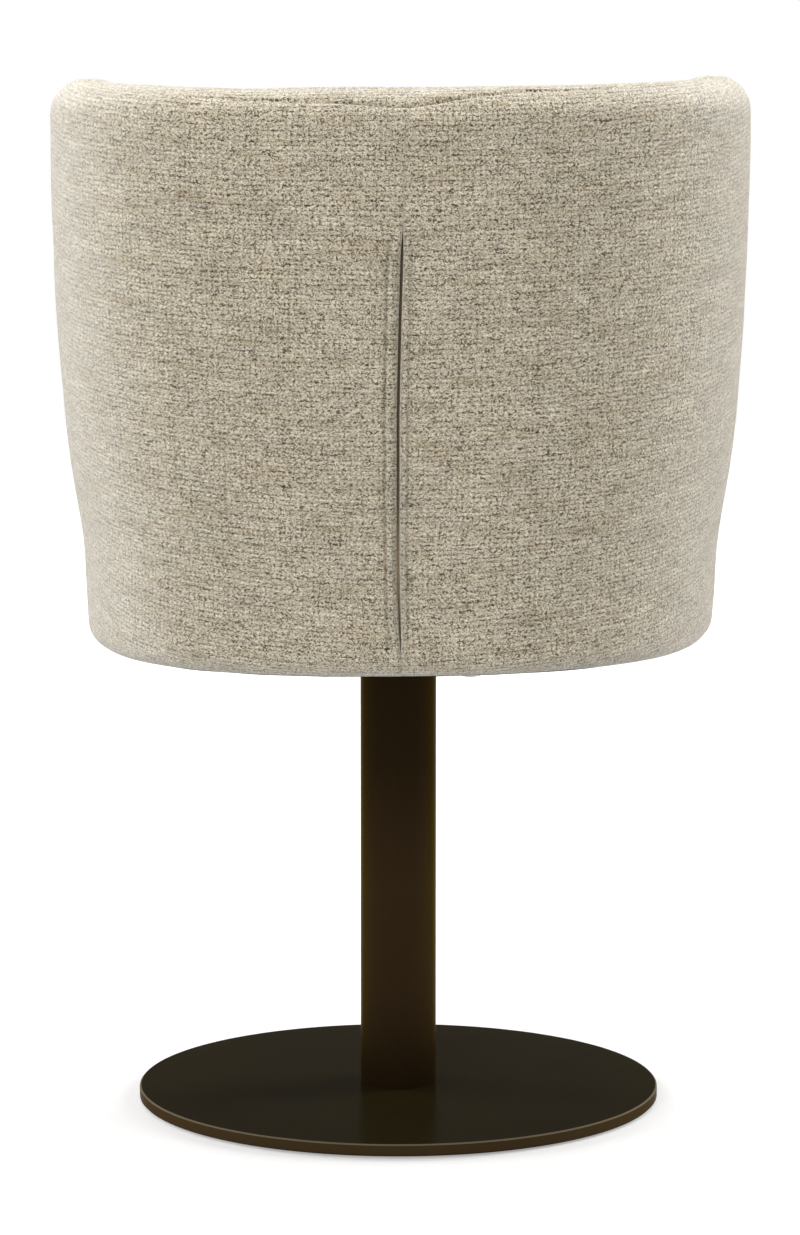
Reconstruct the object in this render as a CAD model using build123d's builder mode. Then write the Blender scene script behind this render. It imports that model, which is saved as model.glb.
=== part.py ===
from build123d import *
from math import cos, radians, sin, sqrt
import os

os.makedirs("parts", exist_ok=True)

# Swivel dining chair: an upholstered barrel seat on a round column and a disc base.
# Millimetres. The origin is on the floor under the column, +Z is up and the chair faces -Y.
# Angles round the seat are counted from the rear centre, positive towards +X.

# Disc base and its floor pads
base_diameter = 438
base_thickness = 10
base_bevel = 1.2
glide_diameter = 22
glide_thickness = 2
glide_circle = 392
glide_count = 6

# Column
column_diameter = 63.5
column_wall = 3
column_length = 359
foot_thickness = 12
foot_screw_circle = 36
foot_screw_count = 4
foot_screw_diameter = 8
foot_screw_grip = 10
flange_side = 150
flange_thickness = 6
flange_corner = 12

# Ball-bearing swivel between the column and the seat
swivel_height = 22
swivel_side = 160
swivel_sheet = 3
race_radius = 50
ball_diameter = 8
ball_count = 20
ball_clearance = 0.3
race_arc = 50
race_back_arc = 20
race_shoulder = 8
centre_sheet_gap = 2.6
cage_thickness = 1.2
cage_rim = 2.6
rivet_diameter = 12
rivet_head_diameter = 20
rivet_head_height = 2.2
rivet_running_gap = 0.06
rivet_bore_diameter = 5

# Fasteners of the swivel
column_bolt_spacing = 120
column_bolt_diameter = 8
bolt_head_diameter = 17
bolt_head_height = 2.6
bolt_tip = 1.5
nut_width = 13
nut_height = 6.5
seat_screw_spacing = 130
seat_screw_diameter = 6
screw_head_diameter = 12
screw_head_height = 3.4
seat_screw_length = 18
tee_flange_diameter = 19
tee_flange_thickness = 1.4
tee_wall = 1.2

# Seat board and the ring that the wall is fixed to
board_thickness = 18
hem_drop = 5
ring_height = 22
ring_width = 22
ring_screw_count = 8
ring_screw_diameter = 4.5
ring_screw_head = 9
ring_screw_length = 26
ring_screw_sink = 1.2

# Outside of the shell, seen from above, at the hem and at its fullest height
hem_half_width = 255
full_half_width = 286
hem_rear_depth = 250
full_rear_depth = 297
hem_front_depth = 287
full_front_depth = 292
hem_squareness = 2.0
full_squareness = 2.7
hem_front_squareness = 2.4
full_front_squareness = 2.5
fullest_rise = 406
flare_power = 1.8

# Rim of the shell: high round the back and the sides, sweeping down to the front
rear_rim_rise = 462
wing_rim_rise = 467
front_rim_rise = 84
sweep_start = 70
sweep_end = 166
rim_wall = 57
hem_round = 22
hem_reach = 12

# Layers of the wall, from the outside in, and the gap between neighbours
cover_thickness = 3
padding_thickness = 8.4
liner_thickness = 1
liner_foot = 3
panel_thickness = 9
fit = 0.4

# Angles at which the foam over the panel is joined
back_foam_end = 60
arm_foam_end = 130

# Open slit down the centre of the back
slit_width = 4
slit_bottom_rise = 22
slit_top_rise = 352
slit_lip = 3

# Seat cushion
cushion_gap = 6
cushion_rise = 76
cushion_cover_thickness = 2.5
cushion_side_pull = 4
cushion_edge_round = 9
cushion_crown = 13
cushion_core = 40
dust_cover_thickness = 0.8
dust_cover_edge = 3
dust_cover_opening = 236

clearance = 0.1
station_step = 6

# Heights, worked out from the floor up
base_top = glide_thickness + base_thickness
column_top = base_top + column_length
flange_top = column_top + flange_thickness
ball_height = flange_top + swivel_height / 2
board_bottom = flange_top + swivel_height
board_top = board_bottom + board_thickness
ring_top = board_top + ring_height
hem = board_bottom - hem_drop

# Distances of each layer's two faces from the outside of the shell
padding_face = cover_thickness + fit
padding_back = padding_face + padding_thickness
liner_face = padding_back + fit
liner_back = liner_face + liner_thickness
panel_face = liner_back + fit
panel_back = panel_face + panel_thickness
ring_face = panel_back + fit
ring_back = ring_face + ring_width
seat_wall = ring_back + fit + cover_thickness


def flare(z):
    # 0 at the hem and 1 at the fullest height and above it
    rise = min(1, max(0, (z - hem) / fullest_rise))
    return 1 - (1 - rise) ** flare_power


def between(low, high, share):
    return low + (high - low) * share


def shell_radius(angle, z):
    # Distance from the column's axis to the outside of the shell
    share = flare(z)
    across = abs(sin(radians(angle)))
    along = cos(radians(angle))
    width = between(hem_half_width, full_half_width, share)
    depth = between(hem_front_depth, full_front_depth, share)
    power = between(hem_front_squareness, full_front_squareness, share)
    if along > 0:
        depth = between(hem_rear_depth, full_rear_depth, share)
        power = between(hem_squareness, full_squareness, share)
    return ((across / width) ** power + (abs(along) / depth) ** power) ** (-1 / power)


def rim_height(angle):
    wing_share = sin(radians(min(angle, 90))) ** 2
    high = between(rear_rim_rise, wing_rim_rise, wing_share)
    share = min(1, max(0, (angle - sweep_start) / (sweep_end - sweep_start)))
    sweep = share**3 * (10 - 15 * share + 6 * share**2)
    return hem + between(high, front_rim_rise, sweep)


def wall_thickness(z):
    rise = max(0, z - ring_top) / (hem + rear_rim_rise - ring_top)
    return between(seat_wall, rim_wall, rise)


def crown_base(angle):
    # Height at which the rounded rim starts, and half the wall's thickness there
    high = rim_height(angle) - wall_thickness(rim_height(angle)) / 2
    return high, wall_thickness(high) / 2


def station_plane(angle):
    turn = radians(angle)
    return Plane(origin=(0, 0, 0), x_dir=(sin(turn), cos(turn), 0), z_dir=(cos(turn), -sin(turn), 0))


def stations():
    return range(0, 181, station_step)


def outer_arc(angle, low, high, inset):
    # Arc up the wall, a constant distance inside the outer surface
    heights = (low, (low + high) / 2, high)
    ThreePointArc(*[(shell_radius(angle, z) - inset, z) for z in heights])


def inner_arc(angle, low, high, inset):
    # Arc up the wall, a constant distance outside the inner surface
    heights = (low, (low + high) / 2, high)
    ThreePointArc(*[(shell_radius(angle, z) - wall_thickness(z) + inset, z) for z in heights])


def crown_arc(angle, inset, side, gap=0):
    # Quarter of the rounded rim, from its top down to the side given by 1 (outer) or -1 (inner),
    # which starts at a gap from the middle
    high, half = crown_base(angle)
    middle = shell_radius(angle, high) - half
    reach = half - inset
    rise = rim_height(angle) - high - inset
    ThreePointArc(
        (middle + side * gap, high + rise),
        (middle + side * reach * sqrt(0.5), high + rise * sqrt(0.5)),
        (middle + side * reach, high),
    )


def hem_arc(angle, inset):
    # Rounded lower edge of the wall; returns where it meets the flat underside
    low = hem + hem_round
    middle = shell_radius(angle, low) - hem_round
    reach = hem_round - inset
    ThreePointArc(
        (middle + reach, low),
        (middle + reach * sqrt(0.5), low - reach * sqrt(0.5)),
        (middle, low - reach),
    )
    return middle, low - reach


def joined(*corners):
    # Straight edges through the corners, which close what the arcs leave open
    Polyline(*corners)


def outer_cover_section(angle):
    high, half = crown_base(angle)
    middle = shell_radius(angle, high) - half
    crown_arc(angle, 0, 1)
    outer_arc(angle, hem + hem_round, high, 0)
    foot, low = hem_arc(angle, 0)
    inner_foot, inner_low = hem_arc(angle, cover_thickness)
    joined((foot, low), (foot - hem_reach, low), (foot - hem_reach, inner_low), (inner_foot, inner_low))
    outer_arc(angle, hem + hem_round, high, cover_thickness)
    crown_arc(angle, cover_thickness, 1)
    joined((middle, rim_height(angle)), (middle, rim_height(angle) - cover_thickness))


def inner_cover_section(angle):
    high, half = crown_base(angle)
    middle = shell_radius(angle, high) - half
    low = board_top + fit
    lip = shell_radius(angle, low) - wall_thickness(low)
    crown_arc(angle, 0, -1, fit)
    inner_arc(angle, low, high, 0)
    joined((lip, low), (lip + cover_thickness, low))
    inner_arc(angle, low, high, cover_thickness)
    crown_arc(angle, cover_thickness, -1, fit)
    joined((middle - fit, rim_height(angle)), (middle - fit, rim_height(angle) - cover_thickness))


def inner_foam_section(angle):
    high = crown_base(angle)[0]
    low = ring_top + fit
    surface = shell_radius(angle, high)
    foot = shell_radius(angle, low)
    crown_arc(angle, padding_face, 1)
    crown_arc(angle, padding_face, -1)
    inner_arc(angle, low, high, padding_face)
    joined((foot - wall_thickness(low) + padding_face, low), (foot - ring_face, low))
    outer_arc(angle, low, high, ring_face)
    joined((surface - ring_face, high), (surface - padding_face, high))


def padding_section(angle):
    high = crown_base(angle)[0] - fit
    low = hem + hem_round
    centre = shell_radius(angle, low) - hem_round
    radius = hem_round - padding_face
    out = hem_round - padding_back
    foot = low - sqrt(radius**2 - out**2)
    half_out = (radius + out) / 2
    outer_arc(angle, low, high, padding_face)
    ThreePointArc(
        (centre + radius, low),
        (centre + half_out, low - sqrt(radius**2 - half_out**2)),
        (centre + out, foot),
    )
    joined((centre + out, foot), (centre + out, low))
    outer_arc(angle, low, high, padding_back)
    surface = shell_radius(angle, high)
    joined((surface - padding_back, high), (surface - padding_face, high))


def sheet_section(angle, low, high, face, back):
    # A layer of even thickness between two heights
    outer_arc(angle, low, high, face)
    outer_arc(angle, low, high, back)
    for z in (low, high):
        joined((shell_radius(angle, z) - face, z), (shell_radius(angle, z) - back, z))


def panel_section(angle):
    sheet_section(angle, board_bottom, crown_base(angle)[0] - fit, panel_face, panel_back)


def liner_section(angle):
    low = board_bottom + liner_foot
    sheet_section(angle, low, crown_base(angle)[0] - fit, liner_face, liner_back)


def lip_section(angle):
    # What the slit's lips are cut from: from inside the cover back to near the lining
    sheet_section(angle, hem + hem_round, crown_base(angle)[0] - fit, cover_thickness / 2, padding_back - fit)


def ring_section(angle):
    sheet_section(angle, board_top, ring_top, ring_face, ring_back)


def half_wall(section):
    # Half of a wall layer, lofted from the rear centre round +X to the front centre
    with BuildPart() as half:
        for angle in stations():
            with BuildSketch(station_plane(angle)):
                with BuildLine():
                    section(angle)
                make_face()
        loft(ruled=True)
    return half.part


def ring_outline(radius_at):
    # Closed outline with a corner at each station of the wall, at the radius given for its angle
    corners = []
    for angle in range(0, 360, station_step):
        radius = radius_at(min(angle, 360 - angle))
        corners.append((radius * sin(radians(angle)), radius * cos(radians(angle))))
    Polyline(*corners, close=True)


def cushion_radius(angle, z):
    # Inside of the wall, less the cushion's gap
    return shell_radius(angle, z) - wall_thickness(z) - cushion_gap


def ring_screw_planes():
    # Where the wall's screws enter the panel: the plane's normal points out of the shell
    height = board_top + ring_height / 2
    for i in range(ring_screw_count):
        angle = 360 * (i + 0.5) / ring_screw_count
        radius = shell_radius(min(angle, 360 - angle), height) - panel_face - ring_screw_sink
        out = (sin(radians(angle)), cos(radians(angle)), 0)
        yield Plane(origin=(radius * out[0], radius * out[1], height), z_dir=out)


# Disc base: solid plate with a fine bevel round both edges and four sunk screw holes
with BuildPart() as base_plate:
    with BuildSketch(Plane.XY.offset(glide_thickness)):
        Circle(base_diameter / 2)
    extrude(amount=base_thickness)
    chamfer(base_plate.edges().filter_by(GeomType.CIRCLE), base_bevel)
    with Locations(Plane.XY.offset(glide_thickness).rotated((180, 0, 0))):
        with PolarLocations(foot_screw_circle / 2, foot_screw_count):
            CounterSinkHole(
                foot_screw_diameter / 2 + clearance, foot_screw_diameter + clearance, base_thickness
            )
base_plate.part.label = "base_plate"
export_step(base_plate.part, "parts/base_plate.step")

with BuildPart() as floor_glides:
    with BuildSketch():
        with PolarLocations(glide_circle / 2, glide_count):
            Circle(glide_diameter / 2)
    extrude(amount=glide_thickness)
floor_glides.part.label = "floor_glides"
export_step(floor_glides.part, "parts/floor_glides.step")

# Column: round tube with a tapped foot disc welded inside its lower end
column_bore = column_diameter - 2 * column_wall
with BuildPart() as column_tube:
    with BuildSketch(Plane.XY.offset(base_top)):
        Circle(column_diameter / 2)
        Circle(column_bore / 2, mode=Mode.SUBTRACT)
    extrude(amount=column_length)
column_tube.part.label = "column_tube"
export_step(column_tube.part, "parts/column_tube.step")

with BuildPart() as column_foot:
    with BuildSketch(Plane.XY.offset(base_top)):
        Circle(column_bore / 2 - clearance)
        with PolarLocations(foot_screw_circle / 2, foot_screw_count):
            Circle(foot_screw_diameter / 2, mode=Mode.SUBTRACT)
    extrude(amount=foot_thickness)
column_foot.part.label = "column_foot"
export_step(column_foot.part, "parts/column_foot.step")

# Countersunk screws up through the disc into the column's foot
sink_depth = foot_screw_diameter / 2
with BuildPart() as base_screws:
    with BuildSketch(Plane.XZ):
        with BuildLine():
            Polyline(
                (0, glide_thickness),
                (foot_screw_diameter, glide_thickness),
                (foot_screw_diameter / 2 - clearance, glide_thickness + sink_depth + clearance),
                (foot_screw_diameter / 2 - clearance, base_top + foot_screw_grip),
                (0, base_top + foot_screw_grip),
                close=True,
            )
        make_face()
    revolve(axis=Axis.Z)
one_screw = base_screws.part
with BuildPart() as base_screws:
    with PolarLocations(foot_screw_circle / 2, foot_screw_count):
        add(one_screw)
base_screws.part.label = "base_screws"
export_step(base_screws.part, "parts/base_screws.step")

with BuildPart() as column_flange:
    with BuildSketch(Plane.XY.offset(column_top)):
        RectangleRounded(flange_side, flange_side, flange_corner)
        with GridLocations(column_bolt_spacing, column_bolt_spacing, 2, 2):
            Circle(column_bolt_diameter / 2 + clearance, mode=Mode.SUBTRACT)
    extrude(amount=flange_thickness)
column_flange.part.label = "column_flange"
export_step(column_flange.part, "parts/column_flange.step")


# Swivel plates: pressed sheet, flat at the rim, with a ball race and a raised middle
near_reach = ball_diameter / 2 + ball_clearance
far_reach = near_reach + swivel_sheet
near_side = near_reach * sin(radians(race_arc))
near_drop = near_reach * cos(radians(race_arc))
far_side = far_reach * sin(radians(race_back_arc))
far_drop = far_reach * cos(radians(race_back_arc))


def swivel_plate(rim_near, rim_far, side, bore, spacing, hole):
    # side is -1 for the plate under the balls and 1 for the one over them
    near_middle = ball_height + side * centre_sheet_gap / 2
    far_middle = near_middle + side * swivel_sheet
    rim_start = race_radius + near_side + race_shoulder
    middle_end = race_radius - near_side - race_shoulder / 2
    with BuildPart() as plate:
        with BuildSketch(Plane.XZ):
            with BuildLine():
                for reach, across, drop in (
                    (near_reach, near_side, near_drop),
                    (far_reach, far_side, far_drop),
                ):
                    ThreePointArc(
                        (race_radius + across, ball_height + side * drop),
                        (race_radius, ball_height + side * reach),
                        (race_radius - across, ball_height + side * drop),
                    )
                Polyline(
                    (race_radius + near_side, ball_height + side * near_drop),
                    (rim_start, rim_near),
                    (swivel_side / 2 - swivel_sheet, rim_near),
                    (swivel_side / 2 - swivel_sheet, rim_far),
                    (rim_start - swivel_sheet, rim_far),
                    (race_radius + far_side, ball_height + side * far_drop),
                )
                Polyline(
                    (race_radius - near_side, ball_height + side * near_drop),
                    (middle_end, near_middle),
                    (0, near_middle),
                    (0, far_middle),
                    (middle_end, far_middle),
                    (race_radius - far_side, ball_height + side * far_drop),
                )
            make_face()
        revolve(axis=Axis.Z)
        with BuildSketch(Plane.XY.offset(min(rim_near, rim_far))):
            RectangleRounded(swivel_side, swivel_side, flange_corner)
            Circle(rim_start, mode=Mode.SUBTRACT)
        extrude(amount=swivel_sheet)
        with BuildSketch(Plane.XY.offset(flange_top)):
            Circle(bore)
            with GridLocations(spacing, spacing, 2, 2):
                Circle(hole)
        extrude(amount=swivel_height, mode=Mode.SUBTRACT)
    return plate.part


rivet_radius = rivet_diameter / 2
with BuildPart() as swivel_lower_plate:
    add(
        swivel_plate(
            rim_near=flange_top + swivel_sheet,
            rim_far=flange_top,
            side=-1,
            bore=rivet_radius,
            spacing=column_bolt_spacing,
            hole=column_bolt_diameter / 2 + clearance,
        )
    )
swivel_lower_plate.part.label = "swivel_lower_plate"
export_step(swivel_lower_plate.part, "parts/swivel_lower_plate.step")

with BuildPart() as swivel_upper_plate:
    add(
        swivel_plate(
            rim_near=board_bottom - swivel_sheet,
            rim_far=board_bottom,
            side=1,
            bore=rivet_radius + rivet_running_gap,
            spacing=seat_screw_spacing,
            hole=seat_screw_diameter / 2 + clearance,
        )
    )
swivel_upper_plate.part.label = "swivel_upper_plate"
export_step(swivel_upper_plate.part, "parts/swivel_upper_plate.step")

# Hollow rivet that keeps the two plates together; the upper plate turns on it
lower_face = ball_height - centre_sheet_gap / 2 - swivel_sheet
upper_face = ball_height + centre_sheet_gap / 2 + swivel_sheet + ball_clearance
with BuildPart() as swivel_rivet:
    with BuildSketch(Plane.XZ):
        with BuildLine():
            Polyline(
                (rivet_bore_diameter / 2, lower_face - rivet_head_height),
                (rivet_head_diameter / 2, lower_face - rivet_head_height),
                (rivet_head_diameter / 2, lower_face),
                (rivet_radius, lower_face),
                (rivet_radius, upper_face),
                (rivet_head_diameter / 2, upper_face),
                (rivet_head_diameter / 2, upper_face + rivet_head_height),
                (rivet_bore_diameter / 2, upper_face + rivet_head_height),
                close=True,
            )
        make_face()
    revolve(axis=Axis.Z)
swivel_rivet.part.label = "swivel_rivet"
export_step(swivel_rivet.part, "parts/swivel_rivet.step")

with BuildPart() as swivel_balls:
    with Locations(Plane.XY.offset(ball_height)):
        with PolarLocations(race_radius, ball_count):
            Sphere(ball_diameter / 2)
swivel_balls.part.label = "swivel_balls"
export_step(swivel_balls.part, "parts/swivel_balls.step")

with BuildPart() as ball_cage:
    with BuildSketch(Plane.XY.offset(ball_height - cage_thickness / 2)):
        Circle(race_radius + ball_diameter / 2 + cage_rim)
        Circle(race_radius - ball_diameter / 2 - cage_rim, mode=Mode.SUBTRACT)
        with PolarLocations(race_radius, ball_count):
            Circle(ball_diameter / 2 + 2 * clearance, mode=Mode.SUBTRACT)
    extrude(amount=cage_thickness)
ball_cage.part.label = "ball_cage"
export_step(ball_cage.part, "parts/ball_cage.step")

# Bolts that hold the lower swivel plate to the column's flange
plate_top = flange_top + swivel_sheet
with BuildPart() as flange_bolts:
    with BuildSketch(Plane.XY.offset(column_top - bolt_head_height)):
        with GridLocations(column_bolt_spacing, column_bolt_spacing, 2, 2):
            Circle(bolt_head_diameter / 2)
    extrude(amount=bolt_head_height)
    fillet(flange_bolts.edges().group_by(Axis.Z)[0], bolt_head_height / 2)
    with BuildSketch(Plane.XY.offset(column_top)):
        with GridLocations(column_bolt_spacing, column_bolt_spacing, 2, 2):
            Circle(column_bolt_diameter / 2)
    extrude(amount=flange_thickness + swivel_sheet + nut_height + bolt_tip)
flange_bolts.part.label = "flange_bolts"
export_step(flange_bolts.part, "parts/flange_bolts.step")

with BuildPart() as flange_nuts:
    with BuildSketch(Plane.XY.offset(plate_top)):
        with GridLocations(column_bolt_spacing, column_bolt_spacing, 2, 2):
            RegularPolygon(nut_width / 2, 6, major_radius=False)
            Circle(column_bolt_diameter / 2 + clearance, mode=Mode.SUBTRACT)
    extrude(amount=nut_height)
flange_nuts.part.label = "flange_nuts"
export_step(flange_nuts.part, "parts/flange_nuts.step")

# Screws through the upper swivel plate into tee nuts let into the seat board
with BuildPart() as seat_screws:
    with BuildSketch(Plane.XY.offset(board_bottom - swivel_sheet - screw_head_height)):
        with GridLocations(seat_screw_spacing, seat_screw_spacing, 2, 2):
            Circle(screw_head_diameter / 2)
    extrude(amount=screw_head_height)
    fillet(seat_screws.edges().group_by(Axis.Z)[0], screw_head_height / 2)
    with BuildSketch(Plane.XY.offset(board_bottom - swivel_sheet)):
        with GridLocations(seat_screw_spacing, seat_screw_spacing, 2, 2):
            Circle(seat_screw_diameter / 2)
    extrude(amount=seat_screw_length)
seat_screws.part.label = "seat_screws"
export_step(seat_screws.part, "parts/seat_screws.step")

tee_radius = seat_screw_diameter / 2 + clearance + tee_wall
with BuildPart() as tee_nuts:
    with BuildSketch(Plane.XY.offset(board_top - tee_flange_thickness)):
        with GridLocations(seat_screw_spacing, seat_screw_spacing, 2, 2):
            Circle(tee_flange_diameter / 2)
    extrude(amount=tee_flange_thickness)
    with BuildSketch(Plane.XY.offset(board_bottom + board_thickness / 3)):
        with GridLocations(seat_screw_spacing, seat_screw_spacing, 2, 2):
            Circle(tee_radius)
    extrude(amount=board_thickness * 2 / 3 - tee_flange_thickness)
    with BuildSketch(Plane.XY.offset(board_bottom)):
        with GridLocations(seat_screw_spacing, seat_screw_spacing, 2, 2):
            Circle(seat_screw_diameter / 2 + clearance)
    extrude(amount=board_thickness, mode=Mode.SUBTRACT)
tee_nuts.part.label = "tee_nuts"
export_step(tee_nuts.part, "parts/tee_nuts.step")

# Seat board: plywood, its edge sloped to fit inside the panel
with BuildPart() as seat_board:
    for height in (board_bottom, board_top):
        with BuildSketch(Plane.XY.offset(height)):
            with BuildLine():
                ring_outline(lambda angle: shell_radius(angle, height) - ring_face)
            make_face()
    loft(ruled=True)
    with Locations(Plane.XY.offset(board_top)):
        with GridLocations(seat_screw_spacing, seat_screw_spacing, 2, 2):
            CounterBoreHole(
                tee_radius + clearance,
                tee_flange_diameter / 2 + clearance,
                tee_flange_thickness + clearance,
                board_thickness,
            )
seat_board.part.label = "seat_board"
export_step(seat_board.part, "parts/seat_board.step")


def wall_screws(spare):
    # Countersunk screws square to the wall, with spare added all round for their holes
    with BuildPart() as screws:
        for plane in ring_screw_planes():
            with BuildSketch(plane):
                Circle(ring_screw_diameter / 2 + spare)
            extrude(amount=-ring_screw_length - spare)
            with BuildSketch(plane):
                Circle(ring_screw_head / 2 + spare)
            extrude(amount=-(ring_screw_head - ring_screw_diameter) / 2, taper=45)
            if spare > 0:
                with BuildSketch(plane):
                    Circle(ring_screw_head / 2 + spare)
                extrude(amount=2 * ring_screw_sink)
    return screws.part


# Screws through the bent panel into the ring on the seat board
with BuildPart() as ring_screws:
    add(wall_screws(0))
ring_screws.part.label = "ring_screws"
export_step(ring_screws.part, "parts/ring_screws.step")

screw_holes = wall_screws(clearance)
with BuildPart() as seat_ring:
    add(half_wall(ring_section))
    mirror(about=Plane.YZ)
    add(screw_holes, mode=Mode.SUBTRACT)
seat_ring.part.label = "seat_ring"
export_step(seat_ring.part, "parts/seat_ring.step")

# Bent plywood panel that gives the shell its shape
with BuildPart() as shell_panel:
    add(half_wall(panel_section))
    mirror(about=Plane.YZ)
    add(screw_holes, mode=Mode.SUBTRACT)
shell_panel.part.label = "shell_panel"
export_step(shell_panel.part, "parts/shell_panel.step")

# Dark lining cloth over the panel, which shows through the slit
with BuildPart() as panel_liner:
    add(half_wall(liner_section))
    mirror(about=Plane.YZ)
panel_liner.part.label = "panel_liner"
export_step(panel_liner.part, "parts/panel_liner.step")

half_foam = half_wall(inner_foam_section)


def foam_between(first, last):
    # Length of the foam on the +X side between two angles from the rear
    with BuildPart() as length:
        add(half_foam)
        if first > 0:
            split(bisect_by=station_plane(first), keep=Keep.TOP)
        if last < 180:
            split(bisect_by=station_plane(last), keep=Keep.BOTTOM)
    return length.part


# Foam over the panel, in four lengths: the back, both arms and the front
with BuildPart() as back_foam:
    add(foam_between(0, back_foam_end))
    mirror(about=Plane.YZ)
back_foam.part.label = "back_foam"
export_step(back_foam.part, "parts/back_foam.step")

with BuildPart() as arm_foam_right:
    add(foam_between(back_foam_end, arm_foam_end))
arm_foam_right.part.label = "arm_foam_right"
export_step(arm_foam_right.part, "parts/arm_foam_right.step")

with BuildPart() as arm_foam_left:
    add(mirror(arm_foam_right.part, about=Plane.YZ, mode=Mode.PRIVATE))
arm_foam_left.part.label = "arm_foam_left"
export_step(arm_foam_left.part, "parts/arm_foam_left.step")

with BuildPart() as front_foam:
    add(foam_between(arm_foam_end, 180))
    mirror(about=Plane.YZ)
front_foam.part.label = "front_foam"
export_step(front_foam.part, "parts/front_foam.step")

with BuildPart() as inner_cover:
    add(half_wall(inner_cover_section))
    mirror(about=Plane.YZ)
inner_cover.part.label = "inner_cover"
export_step(inner_cover.part, "parts/inner_cover.step")


def rear_slice(first, last):
    # Upright block across the rear wall, as high as the slit, between two distances from the centre
    with BuildPart() as block:
        with BuildSketch(Plane.XY.offset(hem + slit_bottom_rise)):
            with Locations(((first + last) / 2, full_rear_depth)):
                Rectangle(last - first, full_rear_depth)
        extrude(amount=slit_top_rise - slit_bottom_rise)
    return block.part


# Outer padding and cover, in two halves that part at the slit down the back. At the slit the
# cover turns in as a lip that reaches the lining.
half_padding = half_wall(padding_section)
lip_back = slit_width / 2 + slit_lip
with BuildPart() as outer_padding_right:
    add(half_padding)
    add(rear_slice(-lip_back, lip_back + fit), mode=Mode.SUBTRACT)
outer_padding_right.part.label = "outer_padding_right"
export_step(outer_padding_right.part, "parts/outer_padding_right.step")

with BuildPart() as slit_lip_right:
    add(half_wall(lip_section))
    add(rear_slice(slit_width / 2, lip_back), mode=Mode.INTERSECT)

with BuildPart() as outer_cover_right:
    add(half_wall(outer_cover_section))
    add(rear_slice(-slit_width / 2, slit_width / 2), mode=Mode.SUBTRACT)
    add(slit_lip_right.part)
outer_cover_right.part.label = "outer_cover_right"
export_step(outer_cover_right.part, "parts/outer_cover_right.step")

with BuildPart() as outer_padding_left:
    add(mirror(outer_padding_right.part, about=Plane.YZ, mode=Mode.PRIVATE))
outer_padding_left.part.label = "outer_padding_left"
export_step(outer_padding_left.part, "parts/outer_padding_left.step")

with BuildPart() as outer_cover_left:
    add(mirror(outer_cover_right.part, about=Plane.YZ, mode=Mode.PRIVATE))
outer_cover_left.part.label = "outer_cover_left"
export_step(outer_cover_left.part, "parts/outer_cover_left.step")


def cushion_form(shrink, overcut=0):
    # Crowned round pad with drawn-in sides, smaller by shrink at the sides and on top. Its middle
    # goes below its foot by overcut.
    low = board_top + fit
    top = board_top + cushion_rise - shrink
    side_top = top - cushion_crown
    waist = (low + side_top + shrink) / 2

    def half_profile(angle):
        foot = cushion_radius(angle, low) - shrink
        shoulder = cushion_radius(angle, side_top) - shrink
        middle = (foot + shoulder) / 2 - cushion_side_pull
        corners = [(cushion_core, top), (cushion_core, low - overcut)]
        if overcut > 0:
            corners.append((foot - cushion_edge_round, low - overcut))
        Polyline(*corners, (foot - cushion_edge_round, low))
        ThreePointArc(
            (foot - cushion_edge_round, low),
            (foot, low + cushion_edge_round),
            (middle, waist),
        )
        ThreePointArc(
            (middle, waist),
            (shoulder, side_top - cushion_edge_round),
            (shoulder - cushion_edge_round, side_top),
        )
        ThreePointArc(
            (shoulder - cushion_edge_round, side_top),
            (between(cushion_core, shoulder, 0.55), top - cushion_crown / 4),
            (cushion_core, top),
        )

    with BuildPart() as pad:
        add(half_wall(half_profile))
        mirror(about=Plane.YZ)
        with BuildSketch(Plane.XY.offset(low - overcut)):
            Circle(cushion_core + 1)
        extrude(amount=top - low + overcut)
    return pad.part


# Seat cushion: a foam block inside a fitted cover that is open underneath
with BuildPart() as seat_foam:
    add(cushion_form(cushion_cover_thickness + fit))
seat_foam.part.label = "seat_foam"
export_step(seat_foam.part, "parts/seat_foam.step")

with BuildPart() as seat_cover:
    add(cushion_form(0))
    add(cushion_form(cushion_cover_thickness, overcut=cushion_cover_thickness), mode=Mode.SUBTRACT)
seat_cover.part.label = "seat_cover"
export_step(seat_cover.part, "parts/seat_cover.step")

# Dust cover across the turned-in hem, with an opening round the swivel
with BuildPart() as dust_cover:
    with BuildSketch(Plane.XY.offset(hem - dust_cover_thickness)):
        with BuildLine():
            ring_outline(lambda angle: shell_radius(angle, hem + hem_round) - hem_round - dust_cover_edge)
        make_face()
        Circle(dust_cover_opening / 2, mode=Mode.SUBTRACT)
    extrude(amount=dust_cover_thickness)
dust_cover.part.label = "dust_cover"
export_step(dust_cover.part, "parts/dust_cover.step")
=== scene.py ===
import math

import bmesh
import bpy
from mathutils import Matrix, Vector, noise


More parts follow.
